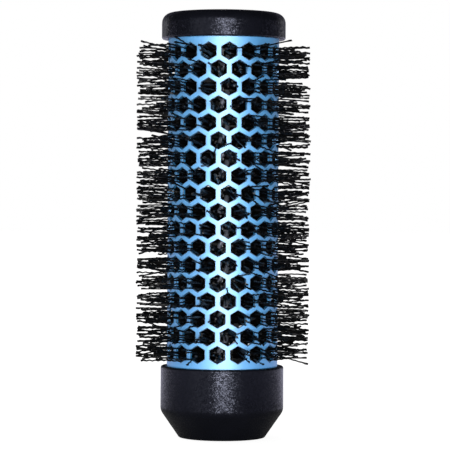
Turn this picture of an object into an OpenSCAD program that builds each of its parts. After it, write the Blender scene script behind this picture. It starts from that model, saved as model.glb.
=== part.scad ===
// Barrel of a round thermal hair brush, taken off its handle and left in the hair as a roller.
// A vented aluminium tube stands between a moulded collar and a moulded cap. Two steel wires, twisted
// together down the middle of the tube, hold the bristles, which come out through the vents.
// Millimetres. +Z runs up the barrel, and z = 0 is the ring that the collar stands on.

/* [Barrel] */
// Outside diameter of the metal barrel
barrel_d = 36; // [32:0.5:46]
// Wall of the metal barrel
barrel_wall = 0.8; // [0.5:0.1:1.2]
// Length of barrel that shows between the collar and the cap
barrel_show = 106; // [60:1:130]
// Width of a hexagonal vent across its flats
vent_flats = 4.9; // [4:0.1:5.4]
// Least width of metal between two vents
vent_web = 1.67; // [1.2:0.01:2.4]
// Least distance from the edge of the cap or collar to the centres of the end row of vents
vent_margin = 4.6; // [4:0.1:8]
// Direction of the first vent in the lowest row, from +X
vent_phase = -73.6; // [-180:0.1:180]

/* [Collar] */
// Height of the collar
collar_h = 23.2; // [20:0.1:30]
// Wall of the collar round the barrel
collar_wall = 1.9; // [1.4:0.1:3]
// Depth to which the barrel is pushed into the collar
collar_seat = 9; // [6:0.5:10]
// Height of the tapered lower part of the collar
taper_h = 9.9; // [8:0.1:10.5]
// Radius of the bend between the taper and the straight side
shoulder_round = 3.9; // [1:0.1:4.5]
// Wall of the tapered part, square to its surface
taper_wall = 2.2; // [1.6:0.1:2.8]
// Thickness of the floor inside the collar
collar_floor = 2.2; // [1.5:0.1:3]
// Round on the edges of the collar and on the lower edge of the cap
edge_round = 0.6; // [0.3:0.1:0.8]

/* [Handle socket] */
// Diameter of the socket that takes the handle's spigot
socket_d = 16; // [13:0.5:18]
// Width of the ring round the socket that the collar stands on
foot_land = 6; // [5.5:0.1:7]
// Wall of the tube round the socket
hub_wall = 2; // [1.6:0.1:2.4]
// Thickness of the roof over the socket
hub_roof = 2; // [1.5:0.1:3]
// Chamfer round the mouth of the socket
mouth_chamfer = 0.8; // [0.4:0.1:1.2]
// Height of the groove that the handle clicks into
click_z = 12; // [8:0.5:14]
// Width of the click groove at its mouth
click_w = 2; // [1.2:0.1:3]
// Depth of the click groove
click_depth = 0.7; // [0.4:0.1:1]
// Number of keyways that stop the barrel turning on the handle
key_count = 4; // [2:1:4]
// Width of a keyway
key_w = 2.2; // [1.5:0.1:2.6]
// Depth of a keyway
key_depth = 1; // [0.6:0.1:1.2]
// Distance from the end of a keyway to the roof of the socket
key_stop = 2; // [1:0.1:4]

/* [Cap] */
// Height of the cap
cap_h = 8.6; // [7.5:0.1:14]
// Wall of the cap round the barrel
cap_wall = 2; // [1.6:0.1:3]
// Thickness of the top of the cap
cap_top = 2.4; // [1.8:0.1:3]
// Radius of the round between the cap's top and its side
cap_round = 3.3; // [1:0.1:3.6]
// Wall of the ring inside the barrel's end
spigot_wall = 1.6; // [1:0.1:2.4]
// Length of the ring inside the barrel's end
spigot_h = 4; // [2:0.1:5]
// Number of ribs that carry the boss for the wires
rib_count = 4; // [3:1:8]
// Thickness of a rib
rib_t = 1.4; // [1:0.1:2]
// Height of a rib
rib_h = 3; // [2:0.1:4]

/* [Twisted wires] */
// Diameter of each of the two wires
wire_d = 1.6; // [1:0.1:2]
// Space between the wires, which the bristles fill
wire_gap = 1; // [0.8:0.05:1.2]
// Direction in which the bristles between the wires point, level with the lowest row of vents, from +X
core_phase = 0; // [-180:1:180]
// Length of wire held in the collar above the roof of the socket
wire_grip = 3.4; // [2:0.1:4]
// Wall of the bosses that hold the ends of the wires
boss_wall = 1.6; // [1:0.1:2.5]

/* [Bristles] */
// Diameter over the tips of the bristles
tip_d = 56.6; // [50:0.1:66]
// Width of a strand
strand_w = 0.36; // [0.3:0.02:0.4]
// How far a strand strays from its place in the vent
strand_stray = 0.4; // [0:0.1:0.5]
// How much shorter than the longest strand the shortest one is
strand_short = 1.2; // [0:0.1:3]
// How far the pinched bristles reach past the wires before they part into strands
strip_reach = 0.5; // [0.4:0.1:0.8]

/* [Fits] */
// Space between the barrel and the walls of its seats
seat_gap = 0.1; // [0.05:0.01:0.15]
// Chamfer that leads the barrel into its seats
lead_in = 0.4; // [0.2:0.1:0.6]
// Space between a strand and the side of its vent
vent_clear = 0.12; // [0.05:0.01:0.3]
// Space between the wires and the walls of their bosses
wire_play = 0.1; // [0.05:0.01:0.2]
// Space between the bristles and the wires that pinch them
pinch_gap = 0.1; // [0.08:0.01:0.15]
// Space between the lowest or highest bristles and the boss beside them
boss_gap = 0.5; // [0.3:0.1:1]

/* [Hidden] */
$fn = 96;
arc_steps = 8;
wire_rings_per_turn = 8;
wire_sides = 6;
strand_sides = 3;
strip_slices = 8;
overcut = 1;
stray_step = 137.5;
stray_turn = 77;

barrel_r = barrel_d / 2;
barrel_bore_r = barrel_r - barrel_wall;
seat_r = barrel_r + seat_gap;
socket_r = socket_d / 2;
hub_r = socket_r + hub_wall;

// Heights, from the foot of the collar upwards
collar_seat_z = collar_h - collar_seat;
cap_z = collar_h + barrel_show;
top_z = cap_z + cap_h;
barrel_top_z = top_z - cap_top;

// The collar's outline
collar_r = seat_r + collar_wall;
foot_r = socket_r + foot_land;
shoulder_x = collar_r - shoulder_round;
taper_angle = atan2(shoulder_x - foot_r, taper_h)
            + asin(shoulder_round / norm([shoulder_x - foot_r, taper_h]));
foot_turn = 90 - taper_angle;
foot_flat_r = foot_r - edge_round * tan(foot_turn / 2);
taper_wall_x = taper_wall / cos(taper_angle);
floor_r = foot_r + collar_floor * tan(taper_angle) - taper_wall_x;
inner_bend_z = (barrel_bore_r - foot_r + taper_wall_x) / tan(taper_angle);

// The grid of vents: rows on a hexagonal grid, centred on the length that shows
vent_corner_r = vent_flats / sqrt(3);
row_pitch = (vent_flats + vent_web) * sqrt(3) / 2;
vents_per_row = floor(PI * barrel_d / (vent_flats + vent_web));
vent_step = 360 / vents_per_row;
row_count = floor((barrel_show - 2 * vent_margin) / row_pitch) + 1;
first_row_z = collar_h + (barrel_show - (row_count - 1) * row_pitch) / 2;
function row_z(row) = first_row_z + row * row_pitch;
function vent_angle(row, vent) = vent_phase + vent_step * (vent + (row % 2) / 2);

// The twisted core: the bristles lie between the wires, and make half a turn for each row of vents
turn_per_row = 180;
core_bottom_z = row_z(0) - row_pitch / 2;
core_top_z = row_z(row_count - 1) + row_pitch / 2;
wire_r = wire_d / 2;
wire_orbit_r = wire_r + wire_gap / 2;
wire_bore_r = wire_orbit_r + wire_r + wire_play;
boss_r = wire_bore_r + boss_wall;
function core_angle(z) = core_phase - turn_per_row * (z - row_z(0)) / row_pitch;

// The bosses at the two ends of the core, and the socket below the lower one
collar_boss_z = core_bottom_z - boss_gap;
hub_top_z = collar_boss_z - wire_grip;
socket_top_z = hub_top_z - hub_roof;
wire_bottom_z = hub_top_z - hub_roof / 2;
cap_boss_z = core_top_z + boss_gap;
wire_top_z = barrel_top_z;

// Bristle strands
strip_r = wire_orbit_r + wire_r + strip_reach;
strip_t = wire_gap - 2 * pinch_gap;
strand_root_r = strip_r - strip_reach;
root_margin = turn_per_row * strand_w / row_pitch;
strand_fan = asin((vent_flats / 2 - strand_w / sqrt(3) - strand_stray - vent_clear) / barrel_r);

function row_name(row) = str("bristle_row_", row < 9 ? "0" : "", row + 1);

// Points along an arc in a profile, from one angle to another
function arc(centre, r, from, to) =
    [for (k = [0:arc_steps]) let (a = from + (to - from) * k / arc_steps) centre + r * [cos(a), sin(a)]];

// A point at a radius, a direction and a height
function polar(r, a, z) = [r * cos(a), r * sin(a), z];

// A number from -1 to 1 that differs from strand to strand
function stray(row, vent, n) = sin(stray_step * (row * vents_per_row + vent) + stray_turn * n);

// A closed tube of triangles through rings of points, each with the same number of sides
module tube(rings) {
    sides = len(rings[0]);
    last = (len(rings) - 1) * sides;
    points = [for (ring = rings) each ring];
    walls = [
        for (k = [0:len(rings) - 2])
            for (s = [0:sides - 1])
                let (a = k * sides + s, b = k * sides + (s + 1) % sides)
                    each [[a, a + sides, b], [b, a + sides, b + sides]]
    ];
    ends = [for (s = [1:sides - 2]) each [[0, s, s + 1], [last, last + s + 1, last + s]]];
    polyhedron(points = points, faces = concat(walls, ends));
}

// Outline of half of the collar, from the axis at the socket's roof round to the wire's bore
function collar_profile() = concat(
    [[0, socket_top_z], [socket_r, socket_top_z], [socket_r, click_z + click_w / 2]],
    [[socket_r + click_depth, click_z], [socket_r, click_z - click_w / 2]],
    [[socket_r, mouth_chamfer], [socket_r + mouth_chamfer, 0]],
    arc([foot_flat_r, edge_round], edge_round, -90, -taper_angle),
    arc([shoulder_x, taper_h], shoulder_round, -taper_angle, 0),
    arc([collar_r - edge_round, collar_h - edge_round], edge_round, 0, 90),
    [[seat_r + lead_in, collar_h], [seat_r, collar_h - lead_in]],
    [[seat_r, collar_seat_z], [barrel_bore_r, collar_seat_z]],
    [[barrel_bore_r, inner_bend_z], [floor_r, collar_floor], [hub_r, collar_floor]],
    [[hub_r, hub_top_z], [boss_r, hub_top_z], [boss_r, collar_boss_z]],
    [[wire_bore_r, collar_boss_z], [wire_bore_r, wire_bottom_z], [0, wire_bottom_z]]
);

// Outline of half of the cap, from its lower edge over the top to the boss for the wires
function cap_profile() = let (
    cap_r = seat_r + cap_wall,
    spigot_r = barrel_bore_r - seat_gap,
    spigot_z = barrel_top_z - spigot_h
) concat(
    [[seat_r, cap_z + lead_in], [seat_r + lead_in, cap_z]],
    arc([cap_r - edge_round, cap_z + edge_round], edge_round, -90, 0),
    arc([cap_r - cap_round, top_z - cap_round], cap_round, 0, 90),
    [[0, top_z], [0, wire_top_z], [wire_bore_r, wire_top_z], [wire_bore_r, cap_boss_z]],
    [[boss_r, cap_boss_z], [boss_r, barrel_top_z], [spigot_r - spigot_wall, barrel_top_z]],
    [[spigot_r - spigot_wall, spigot_z], [spigot_r, spigot_z], [spigot_r, barrel_top_z]],
    [[seat_r, barrel_top_z]]
);

// One hexagonal vent, points up and down, cut straight through the barrel's wall
module vent(row, index) {
    rotate(vent_angle(row, index))
        translate([barrel_bore_r - overcut, 0, row_z(row)])
            rotate([0, 90, 0])
                cylinder(h = barrel_wall + 2 * overcut, r = vent_corner_r, $fn = 6);
}

// The anodised tube, from its seat in the collar to its seat under the cap
module barrel() {
    color("#4aa2ed")
        difference() {
            translate([0, 0, collar_seat_z])
                cylinder(h = barrel_top_z - collar_seat_z, r = barrel_r);
            translate([0, 0, collar_seat_z - overcut])
                cylinder(h = barrel_top_z - collar_seat_z + 2 * overcut, r = barrel_bore_r);
            for (row = [0:row_count - 1])
                for (index = [0:vents_per_row - 1])
                    vent(row, index);
        }
}

// The moulded foot: a tapered shell round the handle's socket, with a seat for the barrel
module collar() {
    key_top_z = socket_top_z - key_stop;
    color("#1c1c22")
        difference() {
            rotate_extrude()
                polygon(collar_profile());
            for (k = [0:key_count - 1])
                rotate(k * 360 / key_count)
                    translate([0, -key_w / 2, -overcut])
                        cube([socket_r + key_depth, key_w, key_top_z + overcut]);
        }
}

// The moulded cap: a skirt and a ring grip the barrel's end, and ribs carry the boss for the wires
module cap() {
    rib_end_r = barrel_bore_r - seat_gap - spigot_wall / 2;
    rib_start_r = wire_bore_r + boss_wall / 2;
    color("#1c1c22")
        union() {
            rotate_extrude()
                polygon(cap_profile());
            for (k = [0:rib_count - 1])
                rotate(k * 360 / rib_count)
                    translate([rib_start_r, -rib_t / 2, barrel_top_z - rib_h])
                        cube([rib_end_r - rib_start_r, rib_t, rib_h + cap_top / 2]);
        }
}

// A ring of points round a wire, square to the direction in which it runs there
function wire_ring(centre, out, along) =
    let (across = cross(along, out))
        [for (s = [0:wire_sides - 1])
            let (a = 360 * s / wire_sides) centre + wire_r * (cos(a) * out + sin(a) * across)];

// Heights of the wire's rings where it winds, a straight wire diameter in from each end
wind_bottom_z = wire_bottom_z + wire_play + wire_d;
wind_top_z = wire_top_z - wire_play - wire_d;
wind_steps = ceil((wind_top_z - wind_bottom_z) / (row_pitch * 360 / turn_per_row) * wire_rings_per_turn);
function wind_z(step) = wind_bottom_z + (wind_top_z - wind_bottom_z) * step / wind_steps;
function wire_centre(side, z) = polar(wire_orbit_r, core_angle(z) + side, z);

// The rise of the winding: how far the wire goes round for each millimetre that it climbs
wind_slope = -PI * turn_per_row / 180 * wire_orbit_r / row_pitch;
function wire_along(angle) =
    let (run = [-wind_slope * sin(angle), wind_slope * cos(angle), 1]) run / norm(run);

// One of the two wires, wound round the core's axis, with a straight end in each boss
module wire(side) {
    up = [0, 0, 1];
    foot_angle = core_angle(wind_bottom_z) + side;
    head_angle = core_angle(wind_top_z) + side;
    foot = polar(wire_orbit_r, foot_angle, wind_bottom_z - wire_d);
    head = polar(wire_orbit_r, head_angle, wind_top_z + wire_d);
    wound = [
        for (step = [0:wind_steps])
            let (z = wind_z(step), angle = core_angle(z) + side)
                wire_ring(wire_centre(side, z), polar(1, angle, 0), wire_along(angle))
    ];
    color("#b9bcc0")
        tube(concat(
            [wire_ring(foot, polar(1, foot_angle, 0), up)],
            wound,
            [wire_ring(head, polar(1, head_angle, 0), up)]
        ));
}

// Least space between a wire and itself, over points at least half a turn apart
wire_self_gap = min([
    for (a = [0:wind_steps], b = [a + wire_rings_per_turn / 2:wind_steps])
        norm(wire_centre(90, wind_z(a)) - wire_centre(90, wind_z(b)))
]) - wire_d;
echo(wire_self_gap = wire_self_gap);

// How far a direction is turned from the one in which a row's bristles point at its mid height
function turn_from_middle(angle) = ((angle - core_phase + 90) % 180 + 180) % 180 - 90;

// The place where a strand leaves the pinched bristles, at the height where they point towards its vent
function root_point(row, angle) =
    let (turn = turn_from_middle(angle), most = 90 - root_margin, kept = max(-most, min(most, turn)))
        polar(strand_root_r, angle + kept - turn, row_z(row) - kept / turn_per_row * row_pitch);

// A ring of points round a strand, square to its direction
function strand_ring(centre, along) =
    let (across = cross([0, 0, 1], along), side = across / norm(across), up = cross(along, side))
        [for (s = [0:strand_sides - 1])
            let (a = 360 * s / strand_sides) centre + strand_w / sqrt(3) * (cos(a) * side + sin(a) * up)];

// The four corners of the pinched bristles at one height
function strip_ring(z) =
    let (angle = core_angle(z), out = polar(strip_r, angle, 0), side = polar(strip_t / 2, angle + 90, 0))
        [for (corner = [out - side, out + side, side - out, -out - side]) corner + [0, 0, z]];

// One strand: from between the wires out through the left, the middle or the right of its vent, to its tip
module strand(row, index, place) {
    angle = vent_angle(row, index) + place * strand_fan;
    root = root_point(row, angle);
    aside = strand_stray * stray(row, index, place) * polar(1, angle + 90, 0);
    above = strand_stray * stray(row, index, place + 3) * [0, 0, 1];
    run = polar(barrel_r, angle, row_z(row)) + aside + above - root;
    tip_r = tip_d / 2 - strand_short * (1 + stray(row, index, place + 6)) / 2;
    reach = (tip_r - strand_root_r) / (barrel_r - strand_root_r);
    along = run / norm(run);
    tube([strand_ring(root, along), strand_ring(root + reach * run, along)]);
}

// The bristles of one row of vents, joined where the wires pinch them. Vents hold one and two by turns
module bristle_row(row) {
    bottom_z = row_z(row) - row_pitch / 2;
    color("#141416")
        union() {
            tube([for (k = [0:strip_slices]) strip_ring(bottom_z + row_pitch * k / strip_slices)]);
            for (index = [0:vents_per_row - 1])
                for (place = index % 2 == 0 ? [0] : [-1, 1])
                    strand(row, index, place);
        }
}

strand_count = row_count * (vents_per_row + floor(vents_per_row / 2));
echo(rows = row_count, vents_per_row = vents_per_row, strands = strand_count);

barrel();
collar();
cap();
wire(90);  // wire_1
wire(-90);  // wire_2
for (row = [0:row_count - 1])
    bristle_row(row);
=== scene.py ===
# %% [markdown]
# # A hair roller, piece by piece
# The roller is the barrel of a round thermal brush. A vented aluminium tube stands between a moulded
# collar and a moulded cap. Two twisted wires down its middle hold the bristles that come out through
# the vents. The CAD model gives each piece its place and size. This lesson gives each one its look, and
# every mesh is made in the CAD model's own frame, so nothing has to be fitted afterwards.

import math

import bmesh
import bpy
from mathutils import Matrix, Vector


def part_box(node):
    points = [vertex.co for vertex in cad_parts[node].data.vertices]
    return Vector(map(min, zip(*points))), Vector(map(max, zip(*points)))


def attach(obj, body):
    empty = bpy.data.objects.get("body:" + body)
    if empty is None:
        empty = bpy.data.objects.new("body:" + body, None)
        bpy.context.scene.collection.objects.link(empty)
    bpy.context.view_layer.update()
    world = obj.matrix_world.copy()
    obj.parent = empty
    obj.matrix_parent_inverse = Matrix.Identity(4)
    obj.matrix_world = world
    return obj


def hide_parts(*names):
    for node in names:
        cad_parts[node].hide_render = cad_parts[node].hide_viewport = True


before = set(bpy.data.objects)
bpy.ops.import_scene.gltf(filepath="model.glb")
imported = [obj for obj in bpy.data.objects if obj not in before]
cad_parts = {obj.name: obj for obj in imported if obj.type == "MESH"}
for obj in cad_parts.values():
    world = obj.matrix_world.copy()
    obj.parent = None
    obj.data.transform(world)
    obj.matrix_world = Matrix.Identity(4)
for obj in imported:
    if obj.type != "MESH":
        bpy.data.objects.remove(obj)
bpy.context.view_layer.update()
scene = bpy.context.scene
MM = 0.001

# %% [markdown]
# ## Measures
# What the CAD boxes can tell is read from them: radii, heights, and the height of each row of bristles,
# whose boxes meet halfway between the rows. They could be typed in again, but read from the boxes they
# follow when the CAD model changes. What a box can't tell, such as the size of a vent, is written here
# once, in millimetres.

# %% Measures taken from the frame
BARREL_LOW, BARREL_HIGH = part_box("barrel")
COLLAR_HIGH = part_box("collar")[1]
CAP_LOW, CAP_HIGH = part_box("cap")
WIRE_LOW, WIRE_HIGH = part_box("wire_1")
ROW_NODES = sorted(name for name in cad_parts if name.startswith("bristle_row_"))
ROW_BOXES = [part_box(name) for name in ROW_NODES]
ROW_HEIGHTS = [(low.z + high.z) / 2 for low, high in ROW_BOXES]
ROW_PITCH = ROW_HEIGHTS[1] - ROW_HEIGHTS[0]
TIP_RADIUS = max(high.x for low, high in ROW_BOXES)

BARREL_RADIUS = BARREL_HIGH.x
BARREL_WALL = 0.8 * MM
VENTS_PER_ROW = 17
VENT_FLATS = 4.9 * MM
VENT_WEB = 1.67 * MM
VENT_STEP = 2 * math.pi / VENTS_PER_ROW
VENT_PHASE = math.radians(-73.6)


def row_phase(row):
    """Direction of a row's first vent: every other row is turned half a step."""
    return VENT_PHASE + VENT_STEP * (row % 2) / 2


print("rows:", len(ROW_NODES), "pitch mm:", round(ROW_PITCH / MM, 3))

# %% [markdown]
# ## Helpers for nodes
# Shaders and Geometry Nodes are both trees of nodes. One small function adds a node, sets it up and
# links it: an input that is given a node or a socket is linked, and any other value is written into the
# socket. The kinds of node that come up most have short names. Colours are written as the hex values
# that a colour picker shows, and turned to the linear values that the renderer works in.

# %% Nodes and colours
MATH, VECTOR_MATH, MAP_RANGE = "ShaderNodeMath", "ShaderNodeVectorMath", "ShaderNodeMapRange"
WHOLE_MATH, SPLIT, JOIN = "FunctionNodeIntegerMath", "ShaderNodeSeparateXYZ", "ShaderNodeCombineXYZ"
MIX, NOISE, COLOUR_RAMP = "ShaderNodeMix", "ShaderNodeTexNoise", "ShaderNodeValToRGB"


def add(tree, kind, inputs=(), operation=None, **settings):
    """Adds a node to a tree with its settings, and fills or links its inputs, by name or in order."""
    node = tree.nodes.new(kind)
    if operation:
        node.operation = operation
    for name, value in settings.items():
        setattr(node, name, value)
    pairs = inputs.items() if isinstance(inputs, dict) else enumerate(inputs)
    for key, value in pairs:
        source = value.outputs[0] if isinstance(value, bpy.types.Node) else value
        if isinstance(source, bpy.types.NodeSocket):
            tree.links.new(source, node.inputs[key])
        else:
            node.inputs[key].default_value = source
    return node


def linear(hex_colour):
    """An sRGB hex colour as linear red, green, blue and alpha."""
    channels = [int(hex_colour[k:k + 2], 16) / 255 for k in (1, 3, 5)]
    bent = [c / 12.92 if c <= 0.04045 else ((c + 0.055) / 1.055) ** 2.4 for c in channels]
    return bent + [1.0]


def per_mm(size_mm):
    """The texture scale at which a pattern repeats about every size_mm millimetres."""
    return 1 / (size_mm * MM)


def new_material(name):
    """An empty material, its tree, and the Object coordinates that its patterns read."""
    material = bpy.data.materials.new(name)
    material.use_nodes = True
    tree = material.node_tree
    tree.nodes.clear()
    place = add(tree, "ShaderNodeTexCoord").outputs["Object"]
    return material, tree, place


def set_stops(ramp, stops):
    """Gives a colour ramp its stops, each a position and a linear colour, from the lowest up."""
    elements = ramp.color_ramp.elements
    for position, colour in stops[1:-1]:
        elements.new(position)
    for element, (position, colour) in zip(elements, stops):
        element.position = position
        element.color = colour


print("helpers ready")

# %% [markdown]
# ## Blue anodised aluminium
# The barrel is a drawn tube that was punched, anodised, dyed blue and sealed. The dye in the oxide skin
# scatters light as a satin layer does, over a little of the metal's own shine. Drawing leaves fine
# lines along the tube, which stretch the highlight round it, and the sealed skin adds a broad, whitish
# gloss. A full metal would be too dark at the sides, so the base is blue and only partly metallic, with
# a radial tangent for the lines and a rough clear coat for the gloss. No gradient is painted: the
# bright band comes from the lamps.

# %% Anodised aluminium
RIM_BAND = (0.66, 0.92)  # where a rim is painted dark as shade, from the middle of a web, 0, to the vent, 1
RIM_SKIN = (BARREL_RADIUS - 0.12 * MM, BARREL_RADIUS - 0.06 * MM)  # below these radii a rim gets no painted shade
TUBE_SKIN = (BARREL_RADIUS - 0.78 * MM, BARREL_RADIUS - 0.68 * MM)  # below these radii the inside is painted a dark blue, a painted shade
LINE_STRETCH = 0.012  # the draw lines run far along the tube, so their pattern is drawn out by this share


def anodised_aluminium():
    """Dyed oxide on drawn aluminium: satin blue, rims and inside painted dark as shade, and a broad,
    whitish upright highlight.
    """
    material, tree, place = new_material("anodised_aluminium_blue")
    # The dye takes a little unevenly, in patches about as wide as two vents
    patches = add(tree, NOISE, {"Vector": place, "Scale": per_mm(13), "Detail": 2.0})
    dye = add(tree, COLOUR_RAMP, {"Fac": patches})
    set_stops(dye, [(0.3, linear("#078dcf")), (0.7, linear("#1295d5"))])
    # How far out a place lies: 1 on the skin and 0 below it, for the painted shade on the rims and inside
    flat_place = add(tree, VECTOR_MATH, [place, (1.0, 1.0, 0.0)], "MULTIPLY")
    from_axis = add(tree, VECTOR_MATH, [flat_place], "LENGTH").outputs["Value"]
    skin, outside = [
        add(tree, MAP_RANGE, {"Value": from_axis, "From Min": low, "From Max": high})
        for low, high in (RIM_SKIN, TUBE_SKIN)
    ]
    # Painted shade: the outer edge of each punched rim is painted dark blue, as the shade side of a rim
    # looks, and loses the coat's gloss; the cut walls below keep the dye
    to_vent = add(tree, "ShaderNodeAttribute", attribute_name="vent_rim").outputs["Fac"]
    edge = add(tree, MAP_RANGE, {"Value": to_vent, "From Min": RIM_BAND[0], "From Max": RIM_BAND[1]})
    rim = add(tree, MATH, [edge, skin], "MULTIPLY")
    painted_rim_shade = add(tree, MIX, {0: rim, 6: dye, 7: linear("#05223a")}, data_type="RGBA").outputs[2]
    # Painted shade: inside, the tube is painted a much darker blue, as the shade in it would look
    colour = add(tree, MIX, {0: outside, 6: linear("#0a1a28"), 7: painted_rim_shade}, data_type="RGBA").outputs[2]
    # Draw lines are a few hundredths of a millimetre apart. They are drawn coarser, so that they can show
    lines_place = add(tree, "ShaderNodeMapping", {"Vector": place, "Scale": (1.0, 1.0, LINE_STRETCH)})
    lines = add(tree, NOISE, {"Vector": lines_place, "Scale": per_mm(0.35), "Detail": 2.0})
    rough = {"Value": lines, "From Min": 0.3, "From Max": 0.7, "To Min": 0.31, "To Max": 0.37}
    shader = add(tree, "ShaderNodeBsdfPrincipled", {
        "Base Color": colour, "Metallic": 0.3, "Roughness": add(tree, MAP_RANGE, rough),
        "Normal": add(tree, "ShaderNodeBump", {"Height": lines, "Strength": 0.08, "Distance": 0.02 * MM}),
        "Tangent": add(tree, "ShaderNodeTangent", direction_type="RADIAL", axis="Z"),
        "Anisotropic": 1.0, "Specular IOR Level": 1.0,
        "Coat Weight": add(tree, MATH, [1.0, rim], "SUBTRACT"),
        "Coat Roughness": 0.56, "Coat IOR": 2.3,
    })
    add(tree, "ShaderNodeOutputMaterial", {"Surface": shader})
    return material


ANODISED = anodised_aluminium()
print("made", ANODISED.name)

# %% [markdown]
# ## Black moulded ABS
# Cap and collar are injection moulded in black ABS. The mould was spark eroded, so the skin carries a
# fine pebbled grain. Each pebble tips the light its own way, and the highlight breaks up into specks. A
# bump from noise would only blur it. So every cell of a Voronoi pattern is one pebble, with a tilt of
# its own that is added to the normal. A low specular level keeps the black from greying under the pale
# surroundings.

# %% Moulded ABS
PEBBLE_TILT = 0.24  # how far, in all, the cells of the grain tip away from the surface
TOP_ROUGHNESS = 0.62


def moulded_abs():
    """Black ABS from a spark-eroded mould: nearly black, a speckled highlight, a duller flat top."""
    material, tree, place = new_material("abs_black_moulded")
    # Slow changes of tone, as melt flowing round the ring leaves them
    flow = add(tree, NOISE, {"Vector": place, "Scale": per_mm(9), "Detail": 2.0})
    tone = add(tree, COLOUR_RAMP, {"Fac": flow})
    set_stops(tone, [(0.3, linear("#0b0c11")), (0.7, linear("#0e0f15"))])
    # Each pebble is a cell with a tilt of its own, drawn about twice its real size so that it shows
    pebbles = add(tree, "ShaderNodeTexVoronoi", {"Vector": place, "Scale": per_mm(0.30)}).outputs["Color"]
    tilt = add(tree, VECTOR_MATH, [pebbles, (0.5, 0.5, 0.5)], "SUBTRACT")
    surface = add(tree, "ShaderNodeNewGeometry").outputs["Normal"]
    tipped = add(tree, VECTOR_MATH, [tilt, [PEBBLE_TILT] * 3, surface], "MULTIPLY_ADD")
    rough = {"Value": flow, "From Min": 0.3, "From Max": 0.7, "To Min": 0.25, "To Max": 0.31}
    rough = add(tree, MAP_RANGE, rough)
    # A flat top shows every scratch, so the mould was eroded more coarsely there, and it shines less
    upward = add(tree, SPLIT, [surface]).outputs["Z"]
    flat_top = add(tree, MAP_RANGE, {"Value": upward, "From Min": 0.97, "From Max": 1.0})
    shader = add(tree, "ShaderNodeBsdfPrincipled", {
        "Base Color": tone, "IOR": 1.53,
        "Roughness": add(tree, MIX, {0: flat_top, 2: rough, 3: TOP_ROUGHNESS}, data_type="FLOAT"),
        "Normal": add(tree, VECTOR_MATH, [tipped], "NORMALIZE"),
        "Specular IOR Level": 0.21, "Specular Tint": linear("#dfe4ff"),
    })
    add(tree, "ShaderNodeOutputMaterial", {"Surface": shader})
    return material


ABS = moulded_abs()
print("made", ABS.name)

# %% [markdown]
# ## Steel wire
# The core is galvanised wire, drawn through a die and then twisted. Its zinc has gone dull: a rough,
# cool grey with a faint mottle. A rough metal with a little noise in its colour and its gloss is
# enough, because only short lengths of it show, deep inside the vents.

# %% Galvanised wire
def galvanised_wire():
    """Dull zinc on drawn steel: a rough, cool grey metal with a faint mottle."""
    material, tree, place = new_material("steel_wire_galvanised")
    mottle = add(tree, NOISE, {"Vector": place, "Scale": per_mm(0.8), "Detail": 3.0})
    tone = add(tree, COLOUR_RAMP, {"Fac": mottle})
    set_stops(tone, [(0.35, linear("#a0a4b0")), (0.65, linear("#bec2cf"))])
    rough = add(tree, MAP_RANGE, {"Value": mottle, "To Min": 0.62, "To Max": 0.74})
    shader = {"Base Color": tone, "Roughness": rough, "Metallic": 1.0}
    shader = add(tree, "ShaderNodeBsdfPrincipled", shader)
    add(tree, "ShaderNodeOutputMaterial", {"Surface": shader})
    return material


STEEL = galvanised_wire()
print("made", STEEL.name)

# %% [markdown]
# ## Black nylon
# The bristles are crimped nylon, dyed black in the melt. No two filaments of a bundle have quite the
# same depth of black. A noise over the whole brush would tint them in patches, so each filament carries
# a tone of its own as an attribute of its mesh, which the material reads.

# %% Nylon
def black_nylon():
    """Crimped nylon filament, dyed in the melt: black, with a dull gloss along each strand."""
    material, tree, place = new_material("nylon_black_filament")
    strand = add(tree, "ShaderNodeAttribute", attribute_name="strand_tone").outputs["Fac"]
    tone = add(tree, COLOUR_RAMP, {"Fac": strand})
    set_stops(tone, [(0.0, linear("#010101")), (1.0, linear("#070707"))])
    # Scuffs from combing, about a millimetre long
    scuff = add(tree, NOISE, {"Vector": place, "Scale": per_mm(1.2), "Detail": 2.0})
    rough = add(tree, MAP_RANGE, {"Value": scuff, "To Min": 0.34, "To Max": 0.50})
    shader = {"Base Color": tone, "Roughness": rough, "IOR": 1.53, "Specular IOR Level": 0.25}
    shader = add(tree, "ShaderNodeBsdfPrincipled", shader)
    add(tree, "ShaderNodeOutputMaterial", {"Surface": shader})
    return material


NYLON = black_nylon()
print("made", NYLON.name)

# %% [markdown]
# ## Running a tree of Geometry Nodes
# Vents, bristles and wires all repeat by a rule, so a tree of Geometry Nodes makes them. Its sizes are
# named inputs, and the modifier takes each one by its socket's identifier. The result is then copied
# into a plain mesh, because a plain mesh is what a library can export.

# %% Trees and their meshes
def put(name, data):
    """A new object in the scene that carries a mesh, a lamp or a camera."""
    thing = bpy.data.objects.new(name, data)
    scene.collection.objects.link(thing)
    return thing


COUNTS = ("Rows", "Vents", "Filaments", "Rings", "Seed")  # inputs that are whole numbers


def new_tree(name, sizes):
    """An empty tree with one input for each size, and the sockets that carry the sizes."""
    tree = bpy.data.node_groups.new(name, "GeometryNodeTree")
    tree.interface.new_socket("Geometry", in_out="INPUT", socket_type="NodeSocketGeometry")
    tree.interface.new_socket("Geometry", in_out="OUTPUT", socket_type="NodeSocketGeometry")
    for size in sizes:
        kind = "NodeSocketInt" if size in COUNTS else "NodeSocketFloat"
        tree.interface.new_socket(size, in_out="INPUT", socket_type=kind)
    return tree, add(tree, "NodeGroupInput").outputs


def close_tree(tree, geometry, material):
    """Ends a tree: what it made becomes real geometry of one material."""
    real = add(tree, "GeometryNodeRealizeInstances", {"Geometry": geometry})
    finished = add(tree, "GeometryNodeSetMaterial", {"Geometry": real, "Material": material})
    add(tree, "NodeGroupOutput", {"Geometry": finished})
    return tree


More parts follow.
